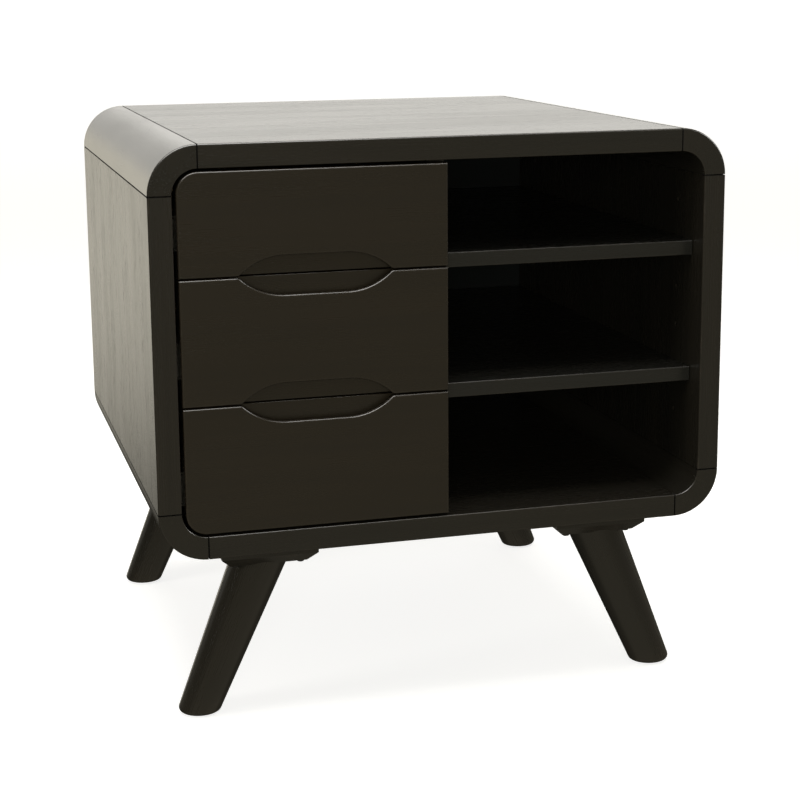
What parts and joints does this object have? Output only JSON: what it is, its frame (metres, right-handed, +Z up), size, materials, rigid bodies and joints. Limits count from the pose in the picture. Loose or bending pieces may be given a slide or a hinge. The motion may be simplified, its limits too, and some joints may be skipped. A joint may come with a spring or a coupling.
{
  "type": "nightstand with drawers",
  "caption": "Low rounded-corner bedside cabinet with drawers beside an open bay with adjustable shelves, on splayed tapered legs.",
  "frame": {"origin": "middle of the footprint, on the floor", "axes": "+Z up; the drawer fronts and the open bay face -Y; +X is to the right of someone facing the fronts"},
  "size_m": [0.61, 0.59, 0.611],
  "materials": {
    "case_veneer": "satin",
    "corner_wood": "satin",
    "bay_veneer": "satin",
    "front_veneer": "satin",
    "leg_wood": "satin",
    "back_board": "matte",
    "drawer_box_wood": "satin",
    "drawer_floor_board": "satin",
    "dowel_wood": "matte",
    "runner_steel": "satin",
    "screw_steel": "satin",
    "bolt_steel": "satin",
    "insert_zinc": "satin",
    "pin_steel": "satin",
    "bumper_rubber": "matte",
    "glide_plastic": "matte"
  },
  "bodies": {
    "cabinet": {"top_panel": "case_veneer", "bottom_panel": "case_veneer", "left_side_panel": "case_veneer", "right_side_panel": "case_veneer", "top_left_corner_block": "corner_wood", "top_right_corner_block": "corner_wood", "bottom_left_corner_block": "corner_wood", "bottom_right_corner_block": "corner_wood", "divider": "bay_veneer", "upper_shelf": "bay_veneer", "lower_shelf": "bay_veneer", "back_panel": "back_board", "back_panel_screws": "screw_steel", "cabinet_runner_screws": "screw_steel", "leg_block_screws": "screw_steel", "case_dowels": "dowel_wood", "shelf_pins": "pin_steel", "drawer_bumpers": "bumper_rubber", "top_drawer_cabinet_runners": "runner_steel", "middle_drawer_cabinet_runners": "runner_steel", "bottom_drawer_cabinet_runners": "runner_steel", "front_left_leg": "leg_wood", "front_right_leg": "leg_wood", "rear_left_leg": "leg_wood", "rear_right_leg": "leg_wood", "front_left_leg_block": "leg_wood", "front_right_leg_block": "leg_wood", "rear_left_leg_block": "leg_wood", "rear_right_leg_block": "leg_wood", "leg_hanger_bolts": "bolt_steel", "leg_thread_inserts": "insert_zinc", "floor_glides": "glide_plastic"},
    "top_drawer": {"top_drawer_front": "front_veneer", "top_drawer_left_side": "drawer_box_wood", "top_drawer_right_side": "drawer_box_wood", "top_drawer_back": "drawer_box_wood", "top_drawer_floor": "drawer_floor_board", "top_drawer_dowels": "dowel_wood", "top_drawer_runner_members": "runner_steel", "top_drawer_runner_screws": "screw_steel"},
    "top_drawer_middle_members": {"top_drawer_middle_runners": "runner_steel"},
    "middle_drawer": {"middle_drawer_front": "front_veneer", "middle_drawer_left_side": "drawer_box_wood", "middle_drawer_right_side": "drawer_box_wood", "middle_drawer_back": "drawer_box_wood", "middle_drawer_floor": "drawer_floor_board", "middle_drawer_dowels": "dowel_wood", "middle_drawer_runner_members": "runner_steel", "middle_drawer_runner_screws": "screw_steel"},
    "middle_drawer_middle_members": {"middle_drawer_middle_runners": "runner_steel"},
    "bottom_drawer": {"bottom_drawer_front": "front_veneer", "bottom_drawer_left_side": "drawer_box_wood", "bottom_drawer_right_side": "drawer_box_wood", "bottom_drawer_back": "drawer_box_wood", "bottom_drawer_floor": "drawer_floor_board", "bottom_drawer_dowels": "dowel_wood", "bottom_drawer_runner_members": "runner_steel", "bottom_drawer_runner_screws": "screw_steel"},
    "bottom_drawer_middle_members": {"bottom_drawer_middle_runners": "runner_steel"}
  },
  "joints": [
    {"name": "top_drawer_slide", "type": "slide", "parent": "cabinet", "child": "top_drawer", "axis": [0, -1, 0], "range_m": [0, 0.4]},
    {"name": "top_drawer_middle_member_slide", "type": "slide", "parent": "cabinet", "child": "top_drawer_middle_members", "axis": [0, -1, 0], "range_m": [0, 0.2]},
    {"name": "middle_drawer_slide", "type": "slide", "parent": "cabinet", "child": "middle_drawer", "axis": [0, -1, 0], "range_m": [0, 0.4]},
    {"name": "middle_drawer_middle_member_slide", "type": "slide", "parent": "cabinet", "child": "middle_drawer_middle_members", "axis": [0, -1, 0], "range_m": [0, 0.2]},
    {"name": "bottom_drawer_slide", "type": "slide", "parent": "cabinet", "child": "bottom_drawer", "axis": [0, -1, 0], "range_m": [0, 0.4]},
    {"name": "bottom_drawer_middle_member_slide", "type": "slide", "parent": "cabinet", "child": "bottom_drawer_middle_members", "axis": [0, -1, 0], "range_m": [0, 0.2]}
  ],
  "couplings": [
    {"joint": "top_drawer_middle_member_slide", "follows": "top_drawer_slide", "ratio": 0.5},
    {"joint": "middle_drawer_middle_member_slide", "follows": "middle_drawer_slide", "ratio": 0.5},
    {"joint": "bottom_drawer_middle_member_slide", "follows": "bottom_drawer_slide", "ratio": 0.5}
  ]
}
